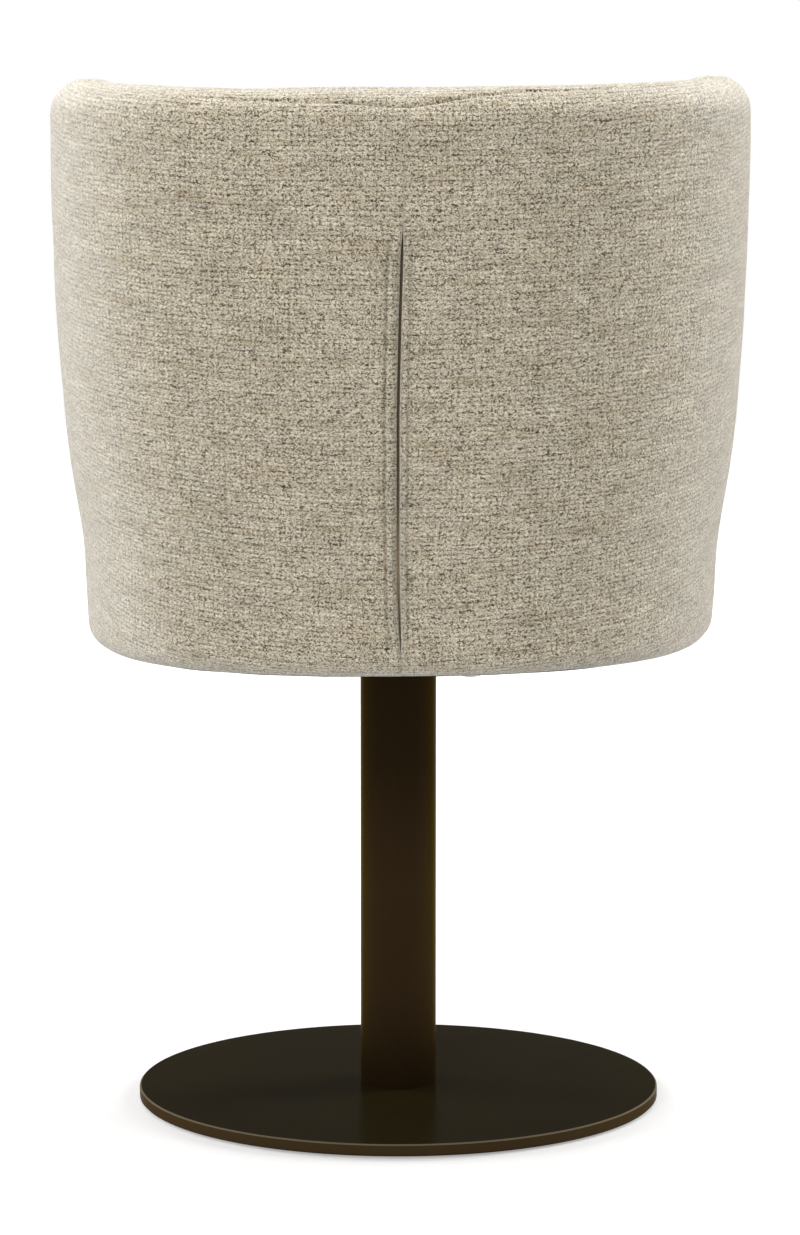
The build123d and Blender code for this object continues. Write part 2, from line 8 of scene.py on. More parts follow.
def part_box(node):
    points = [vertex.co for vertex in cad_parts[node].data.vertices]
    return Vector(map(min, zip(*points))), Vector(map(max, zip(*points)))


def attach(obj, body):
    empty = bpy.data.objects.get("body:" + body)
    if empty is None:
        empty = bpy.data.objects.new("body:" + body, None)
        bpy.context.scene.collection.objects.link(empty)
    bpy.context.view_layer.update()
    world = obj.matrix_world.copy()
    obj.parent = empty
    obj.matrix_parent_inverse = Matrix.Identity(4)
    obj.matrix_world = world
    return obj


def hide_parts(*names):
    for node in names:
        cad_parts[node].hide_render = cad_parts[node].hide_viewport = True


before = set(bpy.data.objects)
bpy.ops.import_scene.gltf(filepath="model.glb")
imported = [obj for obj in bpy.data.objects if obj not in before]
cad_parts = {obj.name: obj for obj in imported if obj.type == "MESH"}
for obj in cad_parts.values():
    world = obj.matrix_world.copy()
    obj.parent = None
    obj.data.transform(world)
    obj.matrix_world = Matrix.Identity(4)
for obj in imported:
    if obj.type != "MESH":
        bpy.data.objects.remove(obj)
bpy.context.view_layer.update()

# Swivel dining chair: an upholstered barrel seat on a bronze column and disc. Metres; the chair
# faces -Y. Angles round the seat are in degrees from the rear centre, positive towards +X.

scene = bpy.context.scene
scene.view_settings.view_transform = "Standard"
coverLow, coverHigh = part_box("outer_cover_right")
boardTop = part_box("seat_board")[1].z
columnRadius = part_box("column_tube")[1].x
weldDistance = 0.00002  # vertices nearer than this are one


# Camera

camera = {"distance": 3.860, "height": 0.936, "side": -0.0014, "pitch": 7.78,
          "focalPixels": 4656, "framePixels": 1235, "sensor": 36, "clipEnd": 50}


def placeCamera():
    data = bpy.data.cameras.new("camera")
    data.sensor_width = camera["sensor"]
    data.lens = camera["focalPixels"] * camera["sensor"] / camera["framePixels"]
    data.clip_end = camera["clipEnd"]
    eye = bpy.data.objects.new("camera", data)
    eye.location = (camera["side"], camera["distance"], camera["height"])
    eye.rotation_euler = (math.radians(90 - camera["pitch"]), 0, math.pi)
    scene.collection.objects.link(eye)
    scene.camera = eye


placeCamera()
print("camera placed")


# Meshes and node links

def meshObject(name, bm):
    mesh = bpy.data.meshes.new(name)
    bm.to_mesh(mesh)
    bm.free()
    made = bpy.data.objects.new(name, mesh)
    scene.collection.objects.link(made)
    return made


def thicken(piece, thickness, offset=-1):
    thick = piece.modifiers.new("thickness", "SOLIDIFY")
    thick.thickness = thickness
    thick.offset = offset


def shadeSmooth(bm):
    for face in bm.faces:
        face.smooth = True


def closeSkin(bm):
    bmesh.ops.remove_doubles(bm, verts=bm.verts, dist=weldDistance)
    bmesh.ops.recalc_face_normals(bm, faces=bm.faces)
    shadeSmooth(bm)


def setInputs(node, values):
    for label, value in values.items():
        node.inputs[label].default_value = value


def addMath(nodes, links, operation, first, second, third=None):
    # Math node whose inputs are sockets or plain numbers
    node = nodes.new("ShaderNodeMath")
    node.operation = operation
    for socket, value in zip(node.inputs, (first, second, third)):
        if value is None:
            continue
        if isinstance(value, (int, float)):
            socket.default_value = value
        else:
            links.new(value, socket)
    return node.outputs[0]


def addRange(nodes, links, value, fromLow, fromHigh, toLow=0.0, toHigh=1.0):
    node = nodes.new("ShaderNodeMapRange")
    setInputs(node, {"From Min": fromLow, "From Max": fromHigh, "To Min": toLow, "To Max": toHigh})
    links.new(value, node.inputs["Value"])
    return node.outputs["Result"]


def objectPlace(nodes):
    return nodes.new("ShaderNodeTexCoord").outputs["Object"]


def seenDirectly(nodes, links):
    # 1 where the camera looks, also through a reflection or glass, and 0 for the light on the chair
    path = nodes.new("ShaderNodeLightPath").outputs
    seen = addMath(nodes, links, "MAXIMUM", path["Is Camera Ray"], path["Is Glossy Ray"])
    return addMath(nodes, links, "MAXIMUM", seen, path["Is Transmission Ray"])


# Light, floor and background

studio = {"floorSize": 12, "worldLight": 0.46, "floorColour": 0.55, "floorRoughness": 0.9,
          "floorSpecular": 0.1, "nearGlow": 0.36, "farGlow": 0.85, "glowFrom": 0.6, "glowTo": 3.0}
lamps = {
    # name: stands at, aimed at, width, height, watts, colour
    "leftBox": ((2.3, -0.9, 1.1), (0, 0.05, 0.65), 1.2, 2.0, 52, (1.0, 0.985, 0.97)),
    "rightBox": ((-2.3, -0.9, 1.1), (0, 0.05, 0.65), 1.2, 2.0, 74, (1.0, 0.985, 0.97)),
    "overhead": ((0, -0.2, 3.0), (0, 0.1, 0.8), 1.8, 1.8, 86, (1.0, 0.985, 0.97)),
    "front": ((1.6, 4.2, 2.4), (0, 0, 0.55), 2.4, 2.0, 98, (1.0, 0.975, 0.94)),
}


def setLamps():
    for name, (stand, target, width, height, watts, colour) in lamps.items():
        data = bpy.data.lights.new(name, "AREA")
        data.shape = "RECTANGLE"
        data.size, data.size_y = width, height
        data.energy = watts
        data.color = colour
        lamp = bpy.data.objects.new(name, data)
        lamp.location = stand
        lamp.rotation_euler = (Vector(target) - Vector(stand)).to_track_quat("-Z", "Y").to_euler()
        lamp.visible_glossy = False
        scene.collection.objects.link(lamp)


def setWorld():
    world = bpy.data.worlds.new("studio")
    scene.world = world
    world.use_nodes = True
    nodes, links = world.node_tree.nodes, world.node_tree.links
    nodes.clear()
    strength = addRange(nodes, links, seenDirectly(nodes, links), 0, 1, studio["worldLight"], 1.0)
    sky = nodes.new("ShaderNodeBackground")
    sky.inputs["Color"].default_value = (1, 1, 1, 1)
    links.new(strength, sky.inputs["Strength"])
    out = nodes.new("ShaderNodeOutputWorld")
    links.new(sky.outputs["Background"], out.inputs["Surface"])


def floorMaterial():
    # Pale floor that looks white where the lamps reach it and keeps the shadow
    material = bpy.data.materials.new("studioFloor")
    material.use_nodes = True
    nodes, links = material.node_tree.nodes, material.node_tree.links
    shader = nodes["Principled BSDF"]
    setInputs(shader, {"Base Color": (studio["floorColour"],) * 3 + (1,),
                       "Roughness": studio["floorRoughness"], "Emission Color": (1, 1, 1, 1),
                       "Specular IOR Level": studio["floorSpecular"]})
    # the glow grows away from the object, so that its shadow stays beside it
    away = nodes.new("ShaderNodeVectorMath")
    away.operation = "LENGTH"
    links.new(objectPlace(nodes), away.inputs[0])
    ramp = addRange(nodes, links, away.outputs["Value"], studio["glowFrom"], studio["glowTo"],
                    studio["nearGlow"], studio["farGlow"])
    glow = addMath(nodes, links, "MULTIPLY", seenDirectly(nodes, links), ramp)
    links.new(glow, shader.inputs["Emission Strength"])
    return material


def layFloor():
    bm = bmesh.new()
    bmesh.ops.create_grid(bm, x_segments=1, y_segments=1, size=studio["floorSize"] / 2)
    floor = meshObject("floor", bm)
    floor.data.materials.append(floorMaterial())


setLamps()
setWorld()
layFloor()
print("studio set")


# Shader node groups

def nodeGroup(name, inputs, outputs):
    group = bpy.data.node_groups.new(name, "ShaderNodeTree")
    for label, kind, value in inputs:
        socket = group.interface.new_socket(label, in_out="INPUT", socket_type=kind)
        if value is not None:
            socket.default_value = value
    for label in outputs:
        group.interface.new_socket(label, in_out="OUTPUT", socket_type="NodeSocketFloat")
    return group, group.nodes.new("NodeGroupInput"), group.nodes.new("NodeGroupOutput")


def addNoise(nodes, links, vector, scale, detail=2.0, roughness=0.5):
    node = nodes.new("ShaderNodeTexNoise")
    setInputs(node, {"Scale": scale, "Detail": detail, "Roughness": roughness})
    links.new(vector, node.inputs["Vector"])
    return node.outputs[0]


def addMix(nodes, links, factor, first, second, blend="MIX"):
    node = nodes.new("ShaderNodeMix")
    node.data_type = "RGBA"
    node.blend_type = blend
    for label, value in (("Factor", factor), ("A", first), ("B", second)):
        socket = node.inputs[label]
        if isinstance(value, (int, float)):
            socket.default_value = value
        elif isinstance(value, tuple):
            socket.default_value = (*value, 1)
        else:
            links.new(value, socket)
    return node.outputs["Result"]


def addScale(nodes, links, vector, scale, offset=(0, 0, 0)):
    node = nodes.new("ShaderNodeMapping")
    setInputs(node, {"Scale": scale, "Location": offset})
    links.new(vector, node.inputs["Vector"])
    return node.outputs["Vector"]


weaveForm = {
    "rowPitch": 0.0038, "warpPitch": 0.0044, "waver": 0.5, "swayRows": 2.0, "slideShare": 0.9,
    "ridgeFrom": (0.02, 0.36), "turnFrom": (0.0, 0.4, 0.35, 1.0),
    "tuftWide": 0.00096, "tuftHigh": 0.00080, "jitter": 900, "push": (0.0006, 0.0004, 0),
    "tuftFrom": (0.75, 0.10), "weftRelief": 0.4, "tuftRelief": 0.6,
    "tintShade": 0.68, "tuftShade": 0.30, "weftShade": 0.22,
    "pitFrom": (0.02, 0.26), "slubFrom": (0.48, 0.74),
    # unevenness: repeats a metre along weft, warp and depth, offset, detail and roughness
    "sway": ((70, 150, 60), (0, 0, 0), 2.0, 0.5),
    "slide": ((110, 240, 60), (4, 8, 0), 1.0, 0.5),
    "dashes": ((75, 330, 150), (5, 2, 0), 3.0, 0.6),
    "streaks": ((16, 130, 16), (1, 9, 0), 3.0, 0.6),
    "mottle": ((20, 70, 40), (11, 3, 0), 3.0, 0.6),
}


def weaveGroup():
    # Nubby chenille. The vector is in metres, X along the weft. Fine tufts of yarn sit on a coarse
    # weave: Height is their relief and Shade their light and dark, a random tone for each tuft with
    # painted shade between the tufts and in the weave's grooves. The third output is painted shade
    # in the odd deep gap, Slub gives the thick dark stretches of weft and Mottle the broad
    # unevenness of the cloth.
    form = weaveForm
    group, start, end = nodeGroup(
        "chenilleWeave",
        [("Vector", "NodeSocketVector", None), ("Row Pitch", "NodeSocketFloat", form["rowPitch"]),
         ("Warp Pitch", "NodeSocketFloat", form["warpPitch"]),
         ("Waver", "NodeSocketFloat", form["waver"])],
        ["Height", "Shade", "GapShade", "Slub", "Mottle"])
    nodes, links = group.nodes, group.links
    vector = start.outputs["Vector"]

    def calc(operation, *values):
        return addMath(nodes, links, operation, *values)

    def uneven(name):
        stretch, offset, detail, roughness = form[name]
        spread = addScale(nodes, links, vector, stretch, offset)
        return addNoise(nodes, links, spread, 1.0, detail, roughness)

    parts = nodes.new("ShaderNodeSeparateXYZ")
    links.new(vector, parts.inputs[0])
    sway = calc("MULTIPLY", calc("SUBTRACT", uneven("sway"), 0.5), start.outputs["Waver"])
    rows = calc("DIVIDE", parts.outputs["Y"], start.outputs["Row Pitch"])
    rows = calc("MULTIPLY_ADD", sway, form["swayRows"], rows)
    ridge = addRange(nodes, links, calc("PINGPONG", rows, 0.5), *form["ridgeFrom"])
    along = calc("DIVIDE", parts.outputs["X"], start.outputs["Warp Pitch"])
    along = calc("MULTIPLY_ADD", uneven("slide"), form["slideShare"], along)
    turn = addRange(nodes, links, calc("PINGPONG", along, 0.5), *form["turnFrom"])
    weft = calc("MULTIPLY", ridge, turn)

    # tufts, a little longer than high
    jitter = nodes.new("ShaderNodeTexNoise")
    setInputs(jitter, {"Scale": form["jitter"], "Detail": 1})
    links.new(vector, jitter.inputs["Vector"])
    push = nodes.new("ShaderNodeVectorMath")
    push.operation = "MULTIPLY_ADD"
    push.inputs[1].default_value = form["push"]
    links.new(jitter.outputs["Color"], push.inputs[0])
    links.new(vector, push.inputs[2])
    tufts = nodes.new("ShaderNodeTexVoronoi")
    tufts.voronoi_dimensions = "2D"
    tufts.inputs["Scale"].default_value = 1
    tuftScale = (1 / form["tuftWide"], 1 / form["tuftHigh"], 1)
    links.new(addScale(nodes, links, push.outputs[0], tuftScale), tufts.inputs["Vector"])
    tuft = addRange(nodes, links, tufts.outputs["Distance"], *form["tuftFrom"])
    tint = nodes.new("ShaderNodeSeparateColor")
    links.new(tufts.outputs["Color"], tint.inputs[0])
    relief = calc("MULTIPLY", tuft, form["tuftRelief"])
    # Shade: a random tone for each tuft, with painted shade between the tufts and in the grooves
    shade = calc("MULTIPLY", tuft, form["tuftShade"])
    shade = calc("MULTIPLY_ADD", tint.outputs["Red"], form["tintShade"], shade)
    shade = calc("MULTIPLY_ADD", weft, form["weftShade"], shade)
    # painted shade in the odd deep gap, most along the dashes
    gapShade = addRange(nodes, links, calc("SUBTRACT", uneven("dashes"), shade), *form["pitFrom"])
    made = {"Height": calc("MULTIPLY_ADD", weft, form["weftRelief"], relief), "Shade": shade,
            "GapShade": gapShade, "Slub": addRange(nodes, links, uneven("streaks"), *form["slubFrom"]),
            "Mottle": uneven("mottle")}
    for label, value in made.items():
        links.new(value, end.inputs[label])
    return group


wearForm = {"cloud": (9.0, 4.0, 0.55), "grain": (2600.0, 2.0, 0.6), "specks": (420.0, 1.0),
            "speckFrom": (0.74, 0.80)}


def wearGroup():
    # Fine scratches, dust specks and broad unevenness for coated and bare metal
    group, start, end = nodeGroup(
        "surfaceWear",
        [("Vector", "NodeSocketVector", None), ("Speck", "NodeSocketFloat", 0.5)],
        ["Cloud", "Grain", "Specks"])
    nodes, links = group.nodes, group.links
    vector = start.outputs["Vector"]
    specks = addNoise(nodes, links, vector, *wearForm["specks"])
    specks = addRange(nodes, links, specks, *wearForm["speckFrom"])
    made = {"Cloud": addNoise(nodes, links, vector, *wearForm["cloud"]),
            "Grain": addNoise(nodes, links, vector, *wearForm["grain"]),
            "Specks": addMath(nodes, links, "MULTIPLY", specks, start.outputs["Speck"])}
    for label, value in made.items():
        links.new(value, end.inputs[label])
    return group


weave = weaveGroup()
wear = wearGroup()


# Materials

def newMaterial(name, roughness=0.5, metallic=0.0, specular=0.5):
    material = bpy.data.materials.new(name)
    material.use_nodes = True
    nodes, links = material.node_tree.nodes, material.node_tree.links
    shader = nodes["Principled BSDF"]
    setInputs(shader, {"Roughness": roughness, "Metallic": metallic,
                       "Specular IOR Level": specular})
    return material, nodes, links, shader


def addBump(nodes, links, shader, height, distance, strength=1.0):
    bump = nodes.new("ShaderNodeBump")
    setInputs(bump, {"Distance": distance, "Strength": strength})
    links.new(height, bump.inputs["Height"])
    links.new(bump.outputs["Normal"], shader.inputs["Normal"])


def addMarks(nodes, links, speck):
    # Wear on the piece's own coordinates
    marks = nodes.new("ShaderNodeGroup")
    marks.node_tree = wear
    marks.inputs["Speck"].default_value = speck
    links.new(objectPlace(nodes), marks.inputs["Vector"])
    return marks.outputs


def shaded(colour, share):
    return tuple(min(1, c * share) for c in colour)


# Chenille tones; the darkest is painted shade for the odd deep gap in the weave
chenille = {
    "dark": (0.185, 0.146, 0.091), "yarn": (0.490, 0.438, 0.328), "light": (0.91, 0.865, 0.735),
    "gapShade": (0.068, 0.050, 0.030), "slub": (0.83, 0.78, 0.70), "yarnFrom": (0.12, 0.50),
    "lightFrom": (0.58, 1.10), "mottle": (0.3, 0.7, 0.89, 1.09), "bump": 0.0007,
    "roughness": 0.95, "specular": 0.12,
    "sheen": 0.85, "sheenRoughness": 0.35, "sheenTint": (0.98, 0.99, 1.0),
}


def chenilleMaterial():
    material, nodes, links, shader = newMaterial(
        "chenilleFabric", roughness=chenille["roughness"], specular=chenille["specular"])
    cloth = nodes.new("ShaderNodeUVMap")
    cloth.uv_map = "weave"
    threadNode = nodes.new("ShaderNodeGroup")
    threadNode.node_tree = weave
    links.new(cloth.outputs["UV"], threadNode.inputs["Vector"])
    thread = threadNode.outputs
    share = addRange(nodes, links, thread["Shade"], *chenille["yarnFrom"])
    body = addMix(nodes, links, share, chenille["dark"], chenille["yarn"])
    share = addRange(nodes, links, thread["Shade"], *chenille["lightFrom"])
    body = addMix(nodes, links, share, body, chenille["light"])
    # painted shade in the odd deep gap of the weave
    body = addMix(nodes, links, thread["GapShade"], body, chenille["gapShade"])
    body = addMix(nodes, links, thread["Slub"], body, chenille["slub"], "MULTIPLY")
    light = nodes.new("ShaderNodeVectorMath")
    light.operation = "SCALE"
    links.new(body, light.inputs[0])
    mottle = addRange(nodes, links, thread["Mottle"], *chenille["mottle"])
    links.new(mottle, light.inputs["Scale"])
    links.new(light.outputs["Vector"], shader.inputs["Base Color"])
    setInputs(shader, {"Sheen Weight": chenille["sheen"], "Sheen Tint": (*chenille["sheenTint"], 1),
                       "Sheen Roughness": chenille["sheenRoughness"]})
    addBump(nodes, links, shader, thread["Height"], chenille["bump"])
    return material


lacquer = {"dark": 0.82, "cloudFrom": (0.3, 0.7), "speck": 0.35, "speckShare": 0.25,
           "speckLight": 3, "roughFrom": (0.25, 0.75), "smoother": 0.04, "rougher": 0.05,
           "bump": 0.00003, "bumpStrength": 0.6}


def coatedMetal(name, colour, roughness, specular, ior=1.02, metallic=0.0, tint=(1.0, 0.86, 0.66)):
    # Dark bronze or black lacquer on steel
    material, nodes, links, shader = newMaterial(name, roughness, metallic, specular)
    marks = addMarks(nodes, links, lacquer["speck"])
    cloud = addRange(nodes, links, marks["Cloud"], *lacquer["cloudFrom"])
    tone = addMix(nodes, links, cloud, shaded(colour, lacquer["dark"]), colour)
    specks = addMath(nodes, links, "MULTIPLY", marks["Specks"], lacquer["speckShare"])
    tone = addMix(nodes, links, specks, tone, shaded(colour, lacquer["speckLight"]))
    links.new(tone, shader.inputs["Base Color"])
    rough = addRange(nodes, links, marks["Cloud"], *lacquer["roughFrom"],
                     roughness - lacquer["smoother"], roughness + lacquer["rougher"])
    links.new(rough, shader.inputs["Roughness"])
    setInputs(shader, {"IOR": ior, "Specular Tint": (*tint, 1)})
    addBump(nodes, links, shader, marks["Grain"], lacquer["bump"], lacquer["bumpStrength"])
    return material


def toneParts(material):
    # Nodes, links, shader, its tone so far and the split object coordinates of a lacquered material
    nodes, links = material.node_tree.nodes, material.node_tree.links
    shader = nodes["Principled BSDF"]
    tone = shader.inputs["Base Color"].links[0].from_socket
    parts = nodes.new("ShaderNodeSeparateXYZ")
    links.new(objectPlace(nodes), parts.inputs[0])
    return nodes, links, shader, tone, parts.outputs


# The column's metal and tint, and the painted shade close under the seat
columnToneAndShade = {"metallic": 0.65, "tint": (0.58, 0.54, 0.43), "shadeFrom": 0.18, "shadeTo": 0.29,
              "dark": 0.5}


def columnMetal(name, colour, roughness):
    # Painted shade: the column's colour is darker close under the seat
    material = coatedMetal(name, colour, roughness, 0.5, metallic=columnToneAndShade["metallic"],
                           tint=columnToneAndShade["tint"])
    nodes, links, shader, tone, parts = toneParts(material)
    # painted shade, darkest close under the seat
    under = addRange(nodes, links, parts["Z"], columnToneAndShade["shadeFrom"], columnToneAndShade["shadeTo"])
    tone = addMix(nodes, links, under, tone, shaded(colour, columnToneAndShade["dark"]))
    links.new(tone, shader.inputs["Base Color"])
    return material


# The disc's edge: a lighter side and a painted highlight on the small bevel
edgeToneAndHighlight = {"radius": 0.2177, "bevelFrom": 0.0109, "side": (0.046, 0.030, 0.0135),
          "bevel": (0.135, 0.115, 0.075), "bevelShare": 0.8}


def discMetal(name, colour, roughness, specular, ior):
    # The disc's side is coloured lighter than its top, and its small bevel has a painted highlight
    material = coatedMetal(name, colour, roughness, specular, ior)
    nodes, links, shader, tone, parts = toneParts(material)
    square = addMath(nodes, links, "MULTIPLY", parts["X"], parts["X"])
    square = addMath(nodes, links, "MULTIPLY_ADD", parts["Y"], parts["Y"], square)
    radius = addMath(nodes, links, "POWER", square, 0.5)
    edge = addMath(nodes, links, "GREATER_THAN", radius, edgeToneAndHighlight["radius"])
    high = addMath(nodes, links, "GREATER_THAN", parts["Z"], edgeToneAndHighlight["bevelFrom"])
    bevel = addMath(nodes, links, "MULTIPLY", edge, high)
    bevel = addMath(nodes, links, "MULTIPLY", bevel, edgeToneAndHighlight["bevelShare"])
    # side coloured lighter, then the painted highlight on the bevel
    tone = addMix(nodes, links, edge, tone, edgeToneAndHighlight["side"])
    tone = addMix(nodes, links, bevel, tone, edgeToneAndHighlight["bevel"])
    links.new(tone, shader.inputs["Base Color"])
    return material


bare = {"dark": 0.8, "cloudFrom": (0.3, 0.7), "speck": 0.5, "roughFrom": (0.3, 0.7),
        "smoother": 0.06, "rougher": 0.08, "bump": 0.00004, "bumpStrength": 0.5}


def bareMetal(name, colour, roughness):
    material, nodes, links, shader = newMaterial(name, roughness=roughness, metallic=1.0)
    marks = addMarks(nodes, links, bare["speck"])
    cloud = addRange(nodes, links, marks["Cloud"], *bare["cloudFrom"])
    tone = addMix(nodes, links, cloud, shaded(colour, bare["dark"]), colour)
    links.new(tone, shader.inputs["Base Color"])
    rough = addRange(nodes, links, marks["Grain"], *bare["roughFrom"],
                     roughness - bare["smoother"], roughness + bare["rougher"])
    links.new(rough, shader.inputs["Roughness"])
    addBump(nodes, links, shader, marks["Grain"], bare["bump"], bare["bumpStrength"])
    return material


def grainMaterial(name, lowTone, highTone, scale, settings):
    # Wood or plain cloth: one grain gives the share of two tones and the relief
    material, nodes, links, shader = newMaterial(
        name, roughness=settings["roughness"], specular=settings["specular"])
    vector, repeat = objectPlace(nodes), scale
    if isinstance(scale, tuple):
        vector, repeat = addScale(nodes, links, vector, scale), 1.0
    grain = addNoise(nodes, links, vector, repeat, *settings["grain"])
    share = addRange(nodes, links, grain, *settings["toneFrom"])
    links.new(addMix(nodes, links, share, lowTone, highTone), shader.inputs["Base Color"])
    addBump(nodes, links, shader, grain, settings["bump"], settings["bumpStrength"])
    return material


wood = {"roughness": 0.65, "specular": 0.3, "along": 9, "across": 70, "grain": (5.0, 0.6),
        "toneFrom": (0.35, 0.68), "bump": 0.0002, "bumpStrength": 0.5}
felted = {"roughness": 0.95, "specular": 0.1, "grain": (4.0, 0.7), "toneFrom": (0.35, 0.65),
          "bump": 0.0003, "bumpStrength": 0.7}


def woodMaterial(name, light, dark, rings):
    # Grain along X, with ply or growth lines in Z
    return grainMaterial(name, light, dark, (wood["along"], wood["across"], rings), wood)


def clothMaterial(name, light, dark, scale):
    # Plain bonded or felted cloth
    return grainMaterial(name, dark, light, scale, felted)


finishes = {
    "chenille": chenilleMaterial(),
    "bronzeColumn": columnMetal("bronzeColumn", (0.0290, 0.0176, 0.0076), 0.38),
    "bronzeDisc": discMetal("bronzeDisc", (0.0160, 0.0120, 0.0044), 0.20, 0.5, 1.013),
    "blackSteel": coatedMetal("blackSteel", (0.012, 0.012, 0.012), 0.45, 0.4),
    "swivelSteel": coatedMetal("swivelSteel", (0.022, 0.022, 0.024), 0.38, 0.5),
    "zincSteel": bareMetal("zincSteel", (0.62, 0.61, 0.57), 0.34),
    "plainSteel": bareMetal("plainSteel", (0.42, 0.42, 0.43), 0.42),
    "ballSteel": bareMetal("ballSteel", (0.72, 0.72, 0.74), 0.12),
    "cagePlastic": coatedMetal("cagePlastic", (0.03, 0.03, 0.03), 0.5, 0.4),
    "plywood": woodMaterial("plywood", (0.62, 0.46, 0.29), (0.44, 0.30, 0.17), 900),
    "solidWood": woodMaterial("solidWood", (0.66, 0.49, 0.30), (0.47, 0.32, 0.18), 90),
    "darkLining": clothMaterial("darkLining", (0.34, 0.275, 0.18), (0.20, 0.158, 0.10), 900),
    "felt": clothMaterial("feltPad", (0.10, 0.085, 0.075), (0.035, 0.030, 0.026), 1400),
    "dustCloth": clothMaterial("dustCloth", (0.030, 0.030, 0.031), (0.012, 0.012, 0.013), 1200),
}
nodeFinish = {
    "bronzeDisc": ["base_plate"],
    "bronzeColumn": ["column_tube"],
    "felt": ["floor_glides"],
    "plainSteel": ["column_foot"],
    "zincSteel": ["base_screws", "flange_bolts", "flange_nuts", "swivel_rivet", "seat_screws",
                  "tee_nuts", "ring_screws"],
    "blackSteel": ["column_flange"],
    "swivelSteel": ["swivel_lower_plate", "swivel_upper_plate"],
    "ballSteel": ["swivel_balls"],
    "cagePlastic": ["ball_cage"],
    "plywood": ["seat_board", "shell_panel"],
    "solidWood": ["seat_ring"],
}


def dressFrame():
    for finish, names in nodeFinish.items():
        for name in names:
            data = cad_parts[name].data
            data.materials.clear()
            data.materials.append(finishes[finish])


dressFrame()
print("materials made")


# The form of the shell

shell = {
    "hem": coverLow.z + 0.0015, "fullWidth": coverHigh.x, "fullRear": coverHigh.y,
    "hemWidth": 0.257, "hemRear": 0.250, "hemFront": 0.287, "fullFront": 0.292,
    "hemPower": 2.6, "fullPower": 2.7, "hemFrontPower": 2.4, "fullFrontPower": 2.5,
    "fullRise": 0.4045, "flarePower": 1.8, "rearRise": 0.4605, "wingRise": 0.4655,
    "frontRise": 0.0825, "sweepStart": 70, "sweepEnd": 166, "wallLow": 0.0484, "wallHigh": 0.057,
    "wallFrom": 0.0435, "hemRound": 0.022, "hemReach": 0.012, "rollOver": 0.02,
    "rimTurnIn": 0.0011, "rimTurnReach": 0.0032, "measuredAt": 0.25,
}
rollTurn = math.pi / 2 + shell["rollOver"]  # how far each cover turns over the rim
measureHeight = shell["hem"] + shell["measuredAt"]


def between(low, high, share):
    return low + (high - low) * share


def clip(value):
    return min(1.0, max(0.0, value))


def bell(distance, width):
    return math.exp(-(distance / width) ** 2)


def flare(z):
    return 1 - (1 - clip((z - shell["hem"]) / shell["fullRise"])) ** shell["flarePower"]


def shellRadius(angle, z):
    share = flare(z)
    across, along = abs(math.sin(math.radians(angle))), math.cos(math.radians(angle))
    width = between(shell["hemWidth"], shell["fullWidth"], share)
    depth = between(shell["hemFront"], shell["fullFront"], share)
    power = between(shell["hemFrontPower"], shell["fullFrontPower"], share)
    if along > 0:
        depth = between(shell["hemRear"], shell["fullRear"], share)
        power = between(shell["hemPower"], shell["fullPower"], share)
    return ((across / width) ** power + (abs(along) / depth) ** power) ** (-1 / power)


def rimHeight(angle):
    wing = math.sin(math.radians(min(angle, 90))) ** 2
    high = between(shell["rearRise"], shell["wingRise"], wing)
    share = clip((angle - shell["sweepStart"]) / (shell["sweepEnd"] - shell["sweepStart"]))
    sweep = share**3 * (10 - 15 * share + 6 * share**2)
    return shell["hem"] + between(high, shell["frontRise"], sweep)


def wallThickness(z):
    rise = max(0, z - shell["hem"] - shell["wallFrom"]) / (shell["rearRise"] - shell["wallFrom"])
    return between(shell["wallLow"], shell["wallHigh"], rise)


def crownBase(angle):
    # Height at which the rim's roll starts and half the roll's width
    high = rimHeight(angle) - wallThickness(rimHeight(angle)) / 2
    return high, wallThickness(high) / 2


def crownWeave(angle, turn, steps=8):
    # How far the cloth runs round the shell and upwards, from the foot of the rim's roll to a
    # spot on the roll: where the rim slopes the weave crosses it squarely
    high, half = crownBase(angle)
    rise = rimHeight(angle) - high
    climb = rimHeight(angle + 0.5) - rimHeight(angle - 0.5)
    slope = math.atan(climb / (math.radians(1) * shellRadius(angle, high)))
    around = up = 0.0
    for i in range(steps):
        part = turn * (i + 0.5) / steps
        along = rise * math.cos(part) * math.sin(slope)
        across = math.hypot(half * math.sin(part), rise * math.cos(part) * math.cos(slope))
        around += (along * math.cos(slope) - across * math.sin(slope)) * turn / steps
        up += (along * math.sin(slope) + across * math.cos(slope)) * turn / steps
    return around, up


def perimeterTable(height, step=0.5):
    # Distance round the shell at one height, for each angle
    table, total, before = [(0.0, 0.0)], 0.0, None
    for i in range(int(180 / step) + 1):
        angle = i * step
        radius = shellRadius(angle, height)
        turn = math.radians(angle)
        spot = Vector((radius * math.sin(turn), radius * math.cos(turn)))
        if before is not None:
            total += (spot - before).length
            table.append((total, angle))
        before = spot
    return table


perimeter = perimeterTable(measureHeight)
halfRound = perimeter[-1][0]


def angleAt(distance):
    # Angle at a distance round the shell from the rear centre
    distance = min(max(distance, 0), halfRound)
    low, high = 0, len(perimeter) - 1
    while high - low > 1:
        middle = (low + high) // 2
        if perimeter[middle][0] <= distance:
            low = middle
        else:
            high = middle
    (d0, a0), (d1, a1) = perimeter[low], perimeter[high]
    return between(a0, a1, (distance - d0) / max(d1 - d0, 1e-9))


def place(radius, angle, z, side=1):
    turn = math.radians(angle)
    return Vector((side * radius * math.sin(turn), radius * math.cos(turn), z))


def bentGrid(columns, rows, pointAt):
    # A grid bent to shape: pointAt gives the place for each share of its width and height
    bm = bmesh.new()
    bmesh.ops.create_grid(bm, x_segments=columns, y_segments=rows, size=0.5)
    for vert in bm.verts:
        vert.co = pointAt(vert.co.x + 0.5, vert.co.y + 0.5)
    return bm


